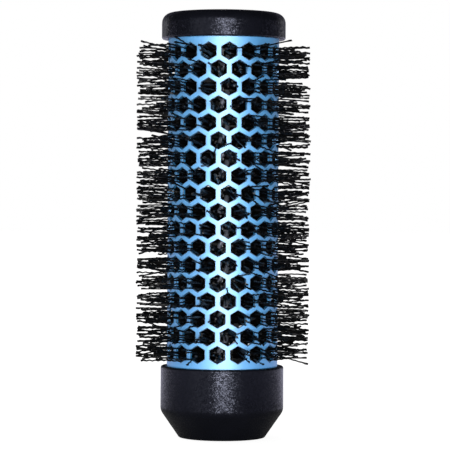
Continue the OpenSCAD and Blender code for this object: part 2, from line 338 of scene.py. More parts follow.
def grow(tree, name, sizes):
    """Runs a tree with the given sizes and returns the result as an object with a plain mesh."""
    holder = put(name + "_holder", bpy.data.meshes.new(name + "_holder"))
    modifier = holder.modifiers.new(tree.name, "NODES")
    modifier.node_group = tree
    for item in tree.interface.items_tree:
        if item.in_out == "INPUT" and item.name in sizes:
            modifier[item.identifier] = sizes[item.name]
    ready = holder.evaluated_get(bpy.context.evaluated_depsgraph_get())
    mesh = bpy.data.meshes.new_from_object(ready)
    mesh.name = name
    bpy.data.objects.remove(holder)
    return put(name, mesh)


print("trees can be grown")

# %% [markdown]
# ## The vented barrel
# On the real tube a press punches one row of hexagons at a time, and turns the tube half a step for the
# next row. The walls between the vents form a honeycomb, and a honeycomb is one cell repeated: a
# hexagonal ring. So the tree lays such rings side by side on a flat grid, stretches the zigzag edges at
# the two ends into plain bands, and rolls the sheet up into a tube. Cutting holes out of a cylinder
# with booleans would give the same shape, but with ragged triangles that show up in the highlight.

# %% One cell of the honeycomb
def vent_cell(tree, size, stride):
    """A hexagon with a point up, as wide as the step between vents, with the vent taken out of it."""
    cell_flats = add(tree, MATH, [size["Flats"], size["Web"]], "ADD")
    cell_radius = add(tree, MATH, [cell_flats, math.sqrt(3)], "DIVIDE")
    hexagon = {"Vertices": 6, "Radius": cell_radius}
    hexagon = add(tree, "GeometryNodeMeshCircle", hexagon, fill_type="NGON")
    quarter_turn = (0.0, 0.0, math.pi / 2)
    point_up = add(tree, "GeometryNodeTransform", {"Geometry": hexagon, "Rotation": quarter_turn})
    stretch = add(tree, MATH, [stride, cell_flats], "DIVIDE")
    widen = add(tree, JOIN, {"X": stretch, "Y": 1.0, "Z": 1.0})
    wide = add(tree, "GeometryNodeTransform", {"Geometry": point_up, "Scale": widen})
    inset = add(tree, "GeometryNodeExtrudeMesh", {"Mesh": wide, "Offset Scale": 0.0}, mode="FACES")
    inner = inset.outputs["Top"]
    share = add(tree, MATH, [size["Flats"], cell_flats], "DIVIDE")
    shrunk = {"Geometry": inset, "Selection": inner, "Scale": share}
    opening = add(tree, "GeometryNodeScaleElements", shrunk, domain="FACE")
    marked = {"Geometry": opening, "Selection": inner, "Name": "vent_rim", "Value": 1.0}
    rim = add(tree, "GeometryNodeStoreNamedAttribute", marked, data_type="FLOAT", domain="POINT")
    emptied = {"Geometry": rim, "Selection": inner}
    return add(tree, "GeometryNodeDeleteGeometry", emptied, domain="FACE", mode="ONLY_FACE")


print("a cell can be laid")

# %% The plain bands at the two ends
END_ZONE = 0.44  # in rows: past this beyond the first and last row, an open edge is part of the zigzag
ONE_FACE = 1.5  # an open edge has fewer faces than this


def end_bands(tree, size, sheet, along, up):
    """Draws the zigzag edges above the last row and below the first out to the ends of the tube."""
    last = add(tree, MATH, [size["Rows"], 1.0], "SUBTRACT")
    half = add(tree, MATH, [last, 0.5], "MULTIPLY")
    middle = add(tree, MATH, [half, size["Row Pitch"], size["First Row"]], "MULTIPLY_ADD")
    from_middle = add(tree, MATH, [up, middle], "SUBTRACT")
    distance = add(tree, MATH, [from_middle], "ABSOLUTE")
    end_rows = add(tree, MATH, [half, END_ZONE], "ADD")
    reach = add(tree, MATH, [end_rows, size["Row Pitch"]], "MULTIPLY")
    outside = add(tree, MATH, [distance, reach], "GREATER_THAN")
    faces = add(tree, "GeometryNodeInputMeshEdgeNeighbors")
    open_edge = add(tree, MATH, [faces, ONE_FACE], "LESS_THAN")
    zigzag = add(tree, MATH, [outside, open_edge], "MULTIPLY")
    drawn = {"Mesh": sheet, "Selection": zigzag, "Offset Scale": 0.0}
    bands = add(tree, "GeometryNodeExtrudeMesh", drawn, mode="EDGES")
    upper = add(tree, MATH, [from_middle, 0.0], "GREATER_THAN")
    length = add(tree, MATH, [size["Top"], size["Bottom"]], "SUBTRACT")
    end = add(tree, MATH, [upper, length, size["Bottom"]], "MULTIPLY_ADD")
    end_place = add(tree, JOIN, {"X": along, "Y": end})
    moved = {"Geometry": bands, "Selection": bands.outputs["Top"], "Position": end_place}
    return add(tree, "GeometryNodeSetPosition", moved)


print("bands can be drawn out")

# %% The tree for the honeycomb
MERGE_GAP = 0.01 * MM


def honeycomb_tree(material):
    """A flat honeycomb of hexagonal rings with plain end bands, rolled up into a tube."""
    names = ["Radius", "Bottom", "Top", "First Row", "Row Pitch", "Rows", "Vents", "Phase"]
    names += ["Flats", "Web"]
    tree, size = new_tree("honeycomb_barrel", names)
    index = add(tree, "GeometryNodeInputIndex")
    row = add(tree, WHOLE_MATH, [index, size["Vents"]], "DIVIDE_FLOOR")
    vent = add(tree, WHOLE_MATH, [index, size["Vents"]], "MODULO")
    odd = add(tree, WHOLE_MATH, [row, 2], "MODULO")
    steps = add(tree, MATH, [odd, 0.5, vent], "MULTIPLY_ADD")
    girth = add(tree, MATH, [size["Radius"], 2 * math.pi], "MULTIPLY")
    stride = add(tree, MATH, [girth, size["Vents"]], "DIVIDE")
    across = add(tree, MATH, [steps, stride], "MULTIPLY")
    up = add(tree, MATH, [row, size["Row Pitch"], size["First Row"]], "MULTIPLY_ADD")
    centre = add(tree, JOIN, {"X": across, "Y": up})
    count = add(tree, WHOLE_MATH, [size["Rows"], size["Vents"]], "MULTIPLY")
    grid = add(tree, "GeometryNodePoints", {"Count": count, "Position": centre})
    cell = vent_cell(tree, size, stride)
    placed = add(tree, "GeometryNodeInstanceOnPoints", {"Points": grid, "Instance": cell})
    loose = add(tree, "GeometryNodeRealizeInstances", {"Geometry": placed})
    sheet = add(tree, "GeometryNodeMergeByDistance", {"Geometry": loose, "Distance": MERGE_GAP})
    place = add(tree, SPLIT, [add(tree, "GeometryNodeInputPosition")]).outputs
    flat = end_bands(tree, size, sheet, place["X"], place["Y"])
    fine = add(tree, "GeometryNodeSubdivideMesh", {"Mesh": flat, "Level": 1})
    # Rolling up: the distance along the sheet becomes an angle round the tube
    turn = add(tree, MATH, [place["X"], size["Radius"]], "DIVIDE")
    angle = add(tree, MATH, [turn, size["Phase"]], "ADD")
    wall = add(tree, JOIN, {"X": size["Radius"], "Z": place["Y"]})
    rolled = add(tree, "ShaderNodeVectorRotate", {"Vector": wall, "Angle": angle}, rotation_type="Z_AXIS")
    tube = add(tree, "GeometryNodeSetPosition", {"Geometry": fine, "Position": rolled})
    closed = add(tree, "GeometryNodeMergeByDistance", {"Geometry": tube, "Distance": MERGE_GAP})
    smooth = add(tree, "GeometryNodeSetShadeSmooth", {"Geometry": closed})
    return close_tree(tree, smooth, material)


HONEYCOMB = honeycomb_tree(ANODISED)
print("honeycomb tree:", len(HONEYCOMB.nodes), "nodes")

# %% [markdown]
# ## The metal of the barrel
# The tree gives the outer skin of the tube. A second, smaller tube inside it would have to be joined to
# it at every vent. Solidify does that by itself: it gives the skin the thickness of the metal, inwards.
# A narrow bevel then breaks every edge as punching and tumbling do, so that the rims catch a line of
# light.

# %% The barrel
EDGE_BREAK = 0.06 * MM
BROKEN_ANGLE = math.radians(40)  # edges that turn by more than this are broken


def finish_edges(piece, width):
    """Breaks the edges of a piece with a narrow bevel and lets its large faces keep their own normals."""
    bevel = piece.modifiers.new("edge_break", "BEVEL")
    bevel.width = width
    bevel.segments = 2
    bevel.limit_method = "ANGLE"
    bevel.angle_limit = BROKEN_ANGLE
    bevel.harden_normals = True


def make_barrel():
    """The punched and anodised tube, in place of the CAD barrel."""
    piece = grow(HONEYCOMB, "vented_barrel", {
        "Radius": BARREL_RADIUS, "Bottom": BARREL_LOW.z, "Top": BARREL_HIGH.z,
        "First Row": ROW_HEIGHTS[0], "Row Pitch": ROW_PITCH, "Rows": len(ROW_NODES),
        "Vents": VENTS_PER_ROW, "Phase": VENT_PHASE, "Flats": VENT_FLATS, "Web": VENT_WEB,
    })
    wall = piece.modifiers.new("metal_wall", "SOLIDIFY")
    wall.thickness = BARREL_WALL
    wall.offset = -1.0
    finish_edges(piece, EDGE_BREAK)
    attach(piece, "root")
    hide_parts("barrel")
    return piece


barrel = make_barrel()
print("barrel skin:", len(barrel.data.polygons), "faces")

# %% [markdown]
# ## The bristles
# A twisted-wire brush is made by laying cut filaments between two wires and twisting the wires: the
# filaments are pinched, and stand out all round in a spiral. Here each row of vents lets its share of
# them through. One tree makes a row. It numbers its points, so that each point knows its filament and
# its step along it, and a few seeded random values, drawn once for each filament, say where it crosses
# the vent, how far it leans, how it is crimped and how long it is. A hair system would be quicker, but
# it would not go through the vents.

# %% Numbers and chances
DRAW_SEEDS = (0, 100, 200)  # added to a row's seed for the place, the lean and the crimp
USUAL_LEAN = (0.13, 0.1, 0.1)
FAR_LEAN = (0.32, 0.24, 0.2)


def filament_numbers(tree, size):
    """For each point: its filament's number, its ring along that, its vent and the vent's direction."""
    index = add(tree, "GeometryNodeInputIndex")
    strand = add(tree, WHOLE_MATH, [index, size["Rings"]], "DIVIDE_FLOOR")
    ring = add(tree, WHOLE_MATH, [index, size["Rings"]], "MODULO")
    vent = add(tree, WHOLE_MATH, [strand, size["Filaments"]], "DIVIDE_FLOOR")
    angle = add(tree, MATH, [vent, VENT_STEP, size["Phase"]], "MULTIPLY_ADD")
    return strand, ring, vent, angle


def filament_chances(tree, size, strand):
    """What chance gives each filament, three values each: its place, its lean and its crimp."""
    draws = []
    for offset in DRAW_SEEDS:
        seed = add(tree, WHOLE_MATH, [size["Seed"], offset], "ADD")
        signed = {0: (-1.0, -1.0, -1.0), 1: (1.0, 1.0, 1.0), "ID": strand, "Seed": seed}
        draws.append(add(tree, "FunctionNodeRandomValue", signed, data_type="FLOAT_VECTOR"))
    place, lean, crimp = draws
    # Most filaments lean little. A high power of the draw gives a few that lean far, over the webs
    power = lean
    for doubling in range(3):
        power = add(tree, VECTOR_MATH, [power, power], "MULTIPLY")
    steep = add(tree, VECTOR_MATH, [power, FAR_LEAN, USUAL_LEAN], "MULTIPLY_ADD")
    lean = add(tree, VECTOR_MATH, [lean, steep], "MULTIPLY")
    return [add(tree, SPLIT, [draw]).outputs for draw in (place, lean, crimp)]


print("filaments can be numbered")

# %% How far out each ring of a filament lies
CORE_RINGS = 2.0  # rings 0 to 2 span the hidden stretch near the core, and the others the rest
CUT_SHORT = 0.84  # of the draws from -1 to 1, those above this are cut short
UNEVEN_CUT = 2.5 * MM


def filament_reach(tree, size, ring, place, lean):
    """Each ring's distance from the axis, how far that is past the barrel, and the last ring's number."""
    cut = {"Value": place["Z"], "From Min": CUT_SHORT, "From Max": 1.0}
    cut = add(tree, MAP_RANGE, {**cut, "To Min": size["Tip Radius"], "To Max": size["Short Radius"]})
    uneven = add(tree, MATH, [lean["Z"]], "ABSOLUTE")
    cut = add(tree, MATH, [uneven, -UNEVEN_CUT, cut], "MULTIPLY_ADD")
    inner = {"Value": ring, "From Max": CORE_RINGS}
    inner = add(tree, MAP_RANGE, {**inner, "To Min": size["Root Radius"], "To Max": size["Inner Radius"]})
    beyond = add(tree, MATH, [cut, size["Inner Radius"]], "SUBTRACT")
    last = add(tree, WHOLE_MATH, [size["Rings"], 1], "SUBTRACT")
    outer = {"Value": ring, "From Min": CORE_RINGS, "From Max": last, "To Max": beyond}
    radius = add(tree, MATH, [inner, add(tree, MAP_RANGE, outer)], "ADD")
    past = add(tree, MATH, [radius, size["Barrel Radius"]], "SUBTRACT")
    past = add(tree, MATH, [past, 0.0], "MAXIMUM")
    return radius, past, last


print("filaments have a length")

# %% Where a filament starts, and where it crosses its vent
ROOT_SCATTER = 0.7 * MM  # the wires pinch the filaments in a band, and not in a line
VENT_SHIFT, ROW_SHIFT = 0.618, 0.41  # so that no two neighbouring vents share out their heights alike
SHAKE = 0.4  # how far a filament strays from its share, in shares


def filament_course(tree, size, strand, vent, angle, place, crimp):
    """The height of a filament's root, and its height and its step aside where it crosses its vent."""
    # The wires make half a turn a row, so a filament starts at the height where they point its way
    off_core = add(tree, MATH, [angle, size["Core Phase"]], "SUBTRACT")
    wrapped = add(tree, MATH, [off_core, math.pi / 2, -math.pi / 2], "WRAP")
    share = add(tree, MATH, [wrapped, -1 / math.pi], "MULTIPLY")
    root = add(tree, MATH, [share, size["Row Pitch"]], "MULTIPLY")
    root = add(tree, MATH, [crimp["X"], ROOT_SCATTER, root], "MULTIPLY_ADD")
    # The filaments of a vent share out its height, and keep towards the side on which they start
    turn = add(tree, WHOLE_MATH, [strand, size["Filaments"]], "MODULO")
    order = add(tree, MATH, [size["Seed"], ROW_SHIFT], "MULTIPLY")
    order = add(tree, MATH, [vent, VENT_SHIFT, order], "MULTIPLY_ADD")
    shaken = add(tree, MATH, [place["Y"], SHAKE, turn], "MULTIPLY_ADD")
    part = add(tree, MATH, [shaken, size["Filaments"]], "DIVIDE")
    part = add(tree, MATH, [part, order], "ADD")
    part = add(tree, MATH, [part], "FRACT")
    shared = add(tree, MAP_RANGE, {"Value": part, "To Min": -1.0, "To Max": 1.0})
    near_root = add(tree, MATH, [share, 2.0], "MULTIPLY")
    squared = add(tree, MATH, [near_root, near_root], "MULTIPLY")
    held = add(tree, MATH, [squared, size["Bunch"]], "MULTIPLY")
    centred = add(tree, MIX, {0: held, 2: shared, 3: near_root}, data_type="FLOAT")
    up = add(tree, MATH, [centred, size["Rise"]], "MULTIPLY")
    # A vent stands on a point, so it has less room sideways towards its corners
    off_middle = add(tree, MATH, [up], "ABSOLUTE")
    to_corner = add(tree, MATH, [size["Corner"], off_middle], "SUBTRACT")
    slanted = add(tree, MATH, [to_corner, math.sqrt(3)], "MULTIPLY")
    room = add(tree, MATH, [slanted, size["Spread"]], "MINIMUM")
    side = add(tree, MATH, [place["X"], room], "MULTIPLY")
    return root, up, side


print("filaments find their vents")

# %% [markdown]
# ## From points to filaments
# Seen from the side, a filament runs straight from its root through its vent and on past it, and a tuft
# draws together again towards its tips. To that line each filament adds its own lean, and the crimp,
# which is pressed into the nylon by toothed rollers before it is cut. The points then become curves,
# and a three-sided section swept along them gives the flat facets that glint. A round section would
# cost many times the faces.

# %% The line of a filament, with its lean and its crimp
CRIMP_DEPTH = (0.06 * MM, 0.14 * MM)


def leant(tree, size, radius, past, course, lean):
    """How far up and aside each ring lies before it is crimped, and how near to the barrel it is."""
    root, up, side = course
    way = {"Value": radius, "From Min": size["Root Radius"], "From Max": size["Barrel Radius"]}
    inside = add(tree, MAP_RANGE, way)
    line = add(tree, MAP_RANGE, way, clamp=False)
    rise = add(tree, MIX, {0: line, 2: root, 3: up}, data_type="FLOAT", clamp_factor=False).outputs[0]
    drawn_in = add(tree, MATH, [past, size["Gather"]], "MULTIPLY")
    kept = add(tree, MATH, [1.0, drawn_in], "SUBTRACT")
    rise = add(tree, MATH, [rise, kept], "MULTIPLY")
    drift = add(tree, MATH, [inside, side], "MULTIPLY")
    leant_up = add(tree, MATH, [lean["Y"], past, rise], "MULTIPLY_ADD")
    leant_side = add(tree, MATH, [lean["X"], past, drift], "MULTIPLY_ADD")
    return leant_up, leant_side, inside


def crimped(tree, strand, ring, crimp, up, side, inside):
    """A zigzag from ring to ring in one plane, which each filament turns its own way."""
    depth = {"Value": crimp["Y"], "From Min": -1.0, "To Min": CRIMP_DEPTH[0], "To Max": CRIMP_DEPTH[1]}
    depth = add(tree, MAP_RANGE, depth)
    shifted = add(tree, WHOLE_MATH, [ring, strand], "ADD")
    odd = add(tree, WHOLE_MATH, [shifted, 2], "MODULO")
    wave = add(tree, MAP_RANGE, {"Value": odd, "To Min": -1.0, "To Max": 1.0})
    swing = add(tree, MATH, [wave, inside], "MULTIPLY")
    swing = add(tree, MATH, [swing, depth], "MULTIPLY")
    plane = add(tree, MATH, [crimp["Z"], math.pi], "MULTIPLY")
    plane_up = add(tree, MATH, [plane], "SINE")
    plane_side = add(tree, MATH, [plane], "COSINE")
    up = add(tree, MATH, [swing, plane_up, up], "MULTIPLY_ADD")
    side = add(tree, MATH, [swing, plane_side, side], "MULTIPLY_ADD")
    return up, side


print("filaments lean and are crimped")

# %% From curves to a mesh
ROLL_SEED = 400  # added to a row's seed, as DRAW_SEEDS are
KNOB_RINGS = 1.5  # the rings this near to the last one make the knob
KNOB_GROWTH = 0.4


def swept(tree, size, curves, last):
    """Sweeps a three-sided section along each filament, with a small knob at its tip."""
    # Each filament is rolled its own way, so that its facets catch the light apart from its neighbours'
    seed = add(tree, WHOLE_MATH, [size["Seed"], ROLL_SEED], "ADD")
    roll = {"Min": 0.0, "Max": 2 * math.pi, "ID": add(tree, "GeometryNodeInputIndex"), "Seed": seed}
    roll = add(tree, "FunctionNodeRandomValue", roll, data_type="FLOAT").outputs[1]
    whole = add(tree, "GeometryNodeFieldOnDomain", [roll], data_type="FLOAT", domain="CURVE")
    rolled = add(tree, "GeometryNodeSetCurveTilt", {"Curve": curves, "Tilt": whole})
    # The knob: the last two rings are thicker
    along = add(tree, "GeometryNodeSplineParameter").outputs["Index"]
    knob_start = add(tree, MATH, [last, KNOB_RINGS], "SUBTRACT")
    knob = add(tree, MATH, [along, knob_start], "GREATER_THAN")
    girth = add(tree, MATH, [knob, KNOB_GROWTH, 1.0], "MULTIPLY_ADD")
    thick = add(tree, MATH, [size["Thickness"], 0.5], "MULTIPLY")
    section = add(tree, "GeometryNodeCurvePrimitiveCircle", {"Resolution": 3, "Radius": thick})
    strands = {"Curve": rolled, "Profile Curve": section, "Scale": girth, "Fill Caps": True}
    strands = add(tree, "GeometryNodeCurveToMesh", strands)
    return add(tree, "GeometryNodeSetShadeSmooth", {"Geometry": strands, "Shade Smooth": False})


print("filaments can be swept")

# %% The tree for one row of bristles
TONE_SEED = 7
DROP_SEED = 300  # added to a row's seed, as DRAW_SEEDS are
DROP_SHARE = 0.05  # of the filaments, lost in use


def bristle_tree(material):
    """Crimped filaments from the core out through one row of vents, with a small knob at each tip."""
    names = ["Barrel Radius", "Root Radius", "Inner Radius", "Tip Radius", "Short Radius", "Height"]
    names += ["Phase", "Core Phase", "Row Pitch", "Spread", "Rise", "Bunch", "Corner", "Gather"]
    names += ["Thickness", "Vents", "Filaments", "Rings", "Seed"]
    tree, size = new_tree("bristle_row", names)
    strand, ring, vent, angle = filament_numbers(tree, size)
    place, lean, crimp = filament_chances(tree, size, strand)
    radius, past, last = filament_reach(tree, size, ring, place, lean)
    course = filament_course(tree, size, strand, vent, angle, place, crimp)
    up, side, inside = leant(tree, size, radius, past, course, lean)
    up, side = crimped(tree, strand, ring, crimp, up, side, inside)
    level = add(tree, MATH, [up, size["Height"]], "ADD")
    local = add(tree, JOIN, {"X": radius, "Y": side, "Z": level})
    position = {"Vector": local, "Angle": angle}
    position = add(tree, "ShaderNodeVectorRotate", position, rotation_type="Z_AXIS")
    strands = add(tree, WHOLE_MATH, [size["Vents"], size["Filaments"]], "MULTIPLY")
    count = add(tree, WHOLE_MATH, [strands, size["Rings"]], "MULTIPLY")
    points = add(tree, "GeometryNodePoints", {"Count": count, "Position": position})
    tone = {"ID": strand, "Seed": TONE_SEED}
    tone = add(tree, "FunctionNodeRandomValue", tone, data_type="FLOAT").outputs[1]
    toned = {"Geometry": points, "Name": "strand_tone", "Value": tone}
    toned = add(tree, "GeometryNodeStoreNamedAttribute", toned, data_type="FLOAT", domain="POINT")
    curves = {"Points": toned, "Curve Group ID": strand, "Weight": ring}
    curves = add(tree, "GeometryNodePointsToCurves", curves)
    seed = add(tree, WHOLE_MATH, [size["Seed"], DROP_SEED], "ADD")
    dropped = {"Probability": DROP_SHARE, "Seed": seed}
    dropped = add(tree, "FunctionNodeRandomValue", dropped, data_type="BOOLEAN").outputs[3]
    thinned = {"Geometry": curves, "Selection": dropped}
    thinned = add(tree, "GeometryNodeDeleteGeometry", thinned, domain="CURVE")
    filaments = swept(tree, size, thinned, last)
    return close_tree(tree, filaments, material)


BRISTLES = bristle_tree(NYLON)
print("bristle tree:", len(BRISTLES.nodes), "nodes")

# %% [markdown]
# ## The rows
# Not every filament finds a vent: those that miss stay inside, where the wall stops them, and they are
# why the barrel looks dark behind its vents. So each row is grown twice from the same tree, once for
# the filaments that stand out and once for the trapped ones, and both become one mesh. A black tube
# inside would be simpler, but it would hide the wires.

# %% The rows of bristles
# Real nylon is usually thinner, and too fine to show here, so fewer and thicker filaments are drawn
FILAMENT_THICKNESS = 0.57 * MM
CORE_PHASE = 0.0  # level with the lowest row, the wires lie in front of and behind the axis
BARREL_BORE = BARREL_RADIUS - BARREL_WALL
TRAPPED_SEED = 1000


def make_bristles(row, node):
    """The bristles of one row of vents, in place of the CAD strands."""
    name = f"bristles_{row + 1:02d}"
    shared = {
        "Height": ROW_HEIGHTS[row], "Phase": row_phase(row), "Core Phase": CORE_PHASE,
        "Row Pitch": ROW_PITCH, "Thickness": FILAMENT_THICKNESS, "Vents": VENTS_PER_ROW,
        "Root Radius": 0.1 * MM,
    }
    piece = grow(BRISTLES, name, {
        **shared, "Seed": row, "Filaments": 6, "Rings": 20, "Barrel Radius": BARREL_RADIUS,
        "Inner Radius": 11.0 * MM, "Tip Radius": TIP_RADIUS, "Short Radius": 21.0 * MM,
        "Spread": 2.0 * MM, "Rise": 2.6 * MM, "Corner": 2.75 * MM, "Bunch": 0.6, "Gather": 45.0,
    })
    trapped = grow(BRISTLES, name + "_trapped", {
        **shared, "Seed": row + TRAPPED_SEED, "Filaments": 10, "Rings": 7, "Barrel Radius": BARREL_BORE,
        "Inner Radius": 8.0 * MM, "Tip Radius": BARREL_BORE - 0.4 * MM, "Short Radius": 14.0 * MM,
        "Spread": 3.2 * MM, "Rise": 3.3 * MM, "Corner": 6.0 * MM, "Bunch": 0.3, "Gather": 0.0,
    })
    with bpy.context.temp_override(active_object=piece, selected_editable_objects=[piece, trapped]):
        bpy.ops.object.join()
    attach(piece, "root")
    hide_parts(node)
    return piece


bristles = [make_bristles(row, node) for row, node in enumerate(ROW_NODES)]
print("bristle rows:", len(bristles), "faces in the first:", len(bristles[0].data.polygons))

# %% [markdown]
# ## The twisted wires
# Two wires run side by side down the axis and wind round each other once for every two rows. A Screw
# modifier could draw them, but its ends are hard to place. A spiral curve with equal start and end
# radius is exactly the path of a wire, and a round section swept along it is the wire.

# %% The tree for a wire, and the two wires
WIRE_THICKNESS = 1.6 * MM
WIRE_RADIUS = WIRE_HIGH.x - WIRE_THICKNESS / 2


def wire_tree(material):
    """A round wire that winds to the left round the Z axis."""
    tree, size = new_tree("twisted_wire", ["Orbit", "Thickness", "Bottom", "Length", "Turns", "Phase"])
    path = {"Resolution": 32, "Rotations": size["Turns"], "Start Radius": size["Orbit"]}
    path = {**path, "End Radius": size["Orbit"], "Height": size["Length"], "Reverse": True}
    spiral = add(tree, "GeometryNodeCurveSpiral", path)
    lift = add(tree, JOIN, {"Z": size["Bottom"]})
    spin = add(tree, JOIN, {"Z": size["Phase"]})
    placed = {"Geometry": spiral, "Translation": lift, "Rotation": spin}
    placed = add(tree, "GeometryNodeTransform", placed)
    half = add(tree, MATH, [size["Thickness"], 0.5], "MULTIPLY")
    section = add(tree, "GeometryNodeCurvePrimitiveCircle", {"Resolution": 14, "Radius": half})
    wire = {"Curve": placed, "Profile Curve": section, "Fill Caps": True}
    wire = add(tree, "GeometryNodeCurveToMesh", wire)
    smooth = add(tree, "GeometryNodeSetShadeSmooth", {"Geometry": wire})
    return close_tree(tree, smooth, material)


def core_angle(height):
    """Direction in which the pinched bristles point at a height."""
    return CORE_PHASE - math.pi * (height - ROW_HEIGHTS[0]) / ROW_PITCH


def make_wire(tree, node, side):
    """One of the two wires, in place of the CAD wire."""
    length = WIRE_HIGH.z - WIRE_LOW.z
    piece = grow(tree, "twisted_" + node, {
        "Orbit": WIRE_RADIUS, "Thickness": WIRE_THICKNESS, "Bottom": WIRE_LOW.z, "Length": length,
        "Turns": length / (2 * ROW_PITCH), "Phase": core_angle(WIRE_LOW.z) + side,
    })
    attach(piece, "root")
    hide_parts(node)
    return piece


WIRE = wire_tree(STEEL)
wires = [make_wire(WIRE, "wire_1", math.pi / 2), make_wire(WIRE, "wire_2", -math.pi / 2)]
print("wires:", [len(wire.data.polygons) for wire in wires])

# %% [markdown]
# ## Turned outlines
# Collar and cap are round mouldings. The CAD meshes could be dressed as they are, but their loose
# triangles would show in the gloss, so each outline is turned about the axis afresh. Two of their
# features are not round: the keyways in the collar's socket and the ribs inside the cap. A boolean
# could cut them. Here the outline simply has a second place for some of its points, which holds within
# a notch, and the walls of the notch appear where the two meet.

# %% Turning an outline, with notches
NOTCHES = 4
STEPS_BETWEEN_NOTCHES = 30
ARC_STEP = math.radians(6)
SHARP_ANGLE = math.radians(35)
WELD = 0.002 * MM  # points nearer than this are one


def arc(centre, radius, start, end):
    """Points along an arc of an outline, from one angle to another, in degrees."""
    start, end = math.radians(start), math.radians(end)
    steps = max(2, math.ceil(abs(end - start) / ARC_STEP))
    angles = [start + (end - start) * k / steps for k in range(steps + 1)]
    return [(centre[0] + radius * math.cos(a), centre[1] + radius * math.sin(a)) for a in angles]


def turned(name, outline, notched, notch_width, material):
    """Turns a closed outline of (radius, height) points about Z. notched moves a point within a notch."""
    sector = 2 * math.pi / NOTCHES
    spokes = []
    for notch in range(NOTCHES):
        middle = sector * notch
        spokes += [(middle - sector, 1.0, False), (middle - sector, 1.0, True)]
        spokes += [(middle, 0.0, True), (middle, 0.0, False)]
        spokes += [(middle, k / STEPS_BETWEEN_NOTCHES, False) for k in range(1, STEPS_BETWEEN_NOTCHES)]
    mesh = bmesh.new()
    rings = []
    for start, share, within in spokes:
        ring = []
        for point in outline:
            radius, height = notched(point) if within else point
            edge = math.asin(notch_width / 2 / max(radius, notch_width))
            angle = start + edge + (sector - 2 * edge) * share
            ring.append(mesh.verts.new((radius * math.cos(angle), radius * math.sin(angle), height)))
        rings.append(ring)
    for here, there in zip(rings, rings[1:] + rings[:1]):
        for k in range(len(outline)):
            following = (k + 1) % len(outline)
            mesh.faces.new((here[k], there[k], there[following], here[following]))
    bmesh.ops.remove_doubles(mesh, verts=mesh.verts, dist=WELD)
    bmesh.ops.dissolve_degenerate(mesh, edges=mesh.edges, dist=WELD)
    bmesh.ops.recalc_face_normals(mesh, faces=mesh.faces)
    data = bpy.data.meshes.new(name)
    mesh.to_mesh(data)
    mesh.free()
    data.shade_smooth()
    data.set_sharp_from_angle(angle=SHARP_ANGLE)
    data.materials.append(material)
    piece = put(name, data)
    normals = piece.modifiers.new("flat_faces_stay_flat", "WEIGHTED_NORMAL")
    normals.keep_sharp = True
    return piece


print("outlines can be turned")

# %% [markdown]
# ## The collar
# The collar grips the lower end of the barrel, and the handle plugs into it from below: a socket with
# four keyways that stop it turning, and a groove that it clicks into. Its side is straight where it
# grips the barrel and tapers in below a soft shoulder to the ring that the roller stands on. Straight
# lines and arcs give all of that, and the arcs keep the soft edges that a mould leaves.

# %% The collar
SEAT_GAP = 0.1 * MM
LEAD_IN = 0.4 * MM
EDGE_ROUND = 0.6 * MM
SEAT_RADIUS = BARREL_RADIUS + SEAT_GAP
BOSS_WALL = 1.6 * MM
WIRE_BORE = WIRE_RADIUS + WIRE_THICKNESS / 2 + SEAT_GAP
BOSS_RADIUS = WIRE_BORE + BOSS_WALL

COLLAR_TOP = 23.2 * MM
TAPER_HEIGHT = 9.9 * MM
SHOULDER_ROUND = 3.9 * MM
TAPER_WALL = 2.2 * MM
COLLAR_FLOOR = 2.2 * MM
FOOT_RADIUS = 14.0 * MM
SOCKET_RADIUS = 8.0 * MM
HUB_WALL = 2.0 * MM
HUB_ROOF = 2.0 * MM
WIRE_GRIP = 3.4 * MM
MOUTH_CHAMFER = 0.8 * MM
CLICK_HEIGHT, CLICK_WIDTH, CLICK_DEPTH = 12.0 * MM, 2.0 * MM, 0.7 * MM
KEY_WIDTH, KEY_DEPTH, KEY_STOP = 2.2 * MM, 1.0 * MM, 2.0 * MM
KEY_END = 0.01 * MM  # this little above a keyway the socket is round again


